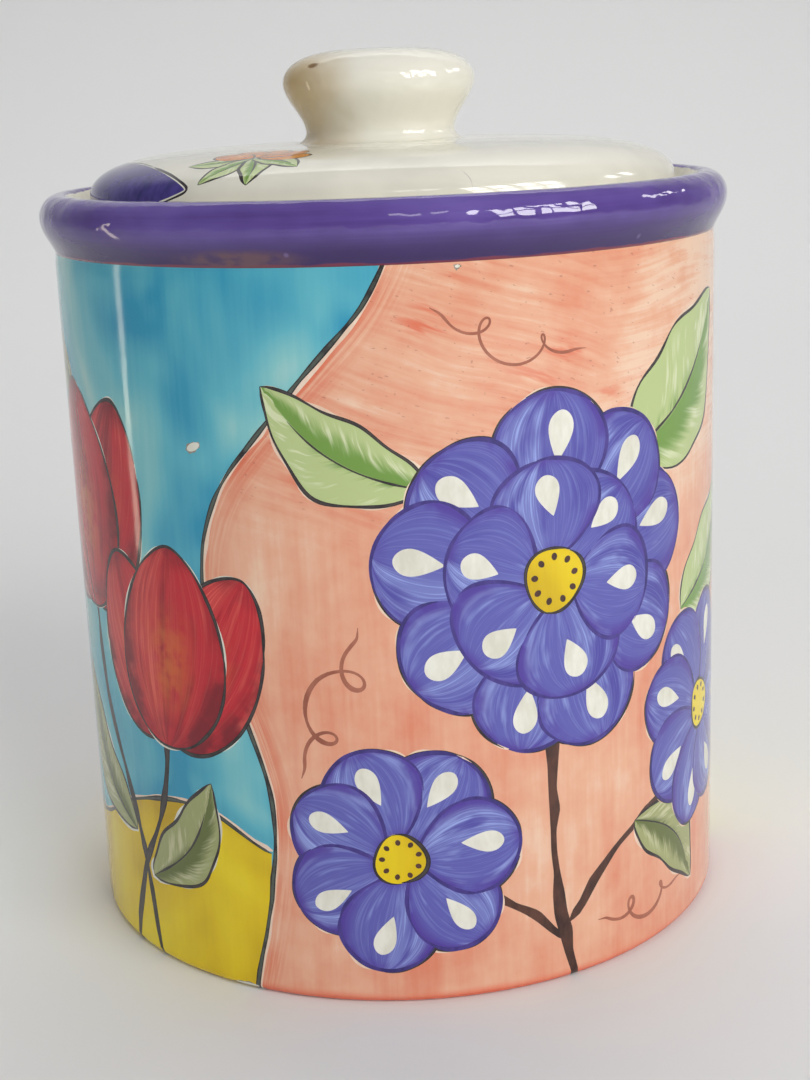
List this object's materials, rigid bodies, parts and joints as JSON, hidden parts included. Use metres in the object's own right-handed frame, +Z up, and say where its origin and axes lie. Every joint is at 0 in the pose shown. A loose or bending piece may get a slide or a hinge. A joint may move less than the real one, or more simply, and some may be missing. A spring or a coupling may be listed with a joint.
{
  "type": "ceramic canister",
  "caption": "Straight-sided glazed ceramic canister with a rolled rim, and a low domed lid with a mushroom knob that lifts off and turns in its seat.",
  "frame": {"origin": "middle of the foot, on the surface that the canister stands on", "axes": "+Z up along the axis that every piece is turned about"},
  "size_m": [0.2072, 0.2072, 0.2615],
  "materials": {
    "body_glaze": "painted earthenware under a clear gloss glaze",
    "rim_glaze": "violet gloss glaze",
    "lid_glaze": "cream gloss glaze",
    "seal_silicone": "satin translucent silicone"
  },
  "bodies": {
    "jar": {"jar_body": "body_glaze", "rim_collar": "rim_glaze"},
    "seal": {"seal_ring": "seal_silicone"},
    "lid": {"lid_dome": "lid_glaze", "lid_flange": "lid_glaze", "lid_knob": "lid_glaze"}
  },
  "joints": [
    {"name": "lid_lift", "type": "slide", "parent": "jar", "child": "seal", "axis": [0, 0, 1], "range_m": [0, 0.15]},
    {"name": "lid_turn", "type": "hinge", "parent": "seal", "child": "lid", "pos_m": [0, 0, 0.2161], "axis": [0, 0, 1], "continuous": true}
  ]
}
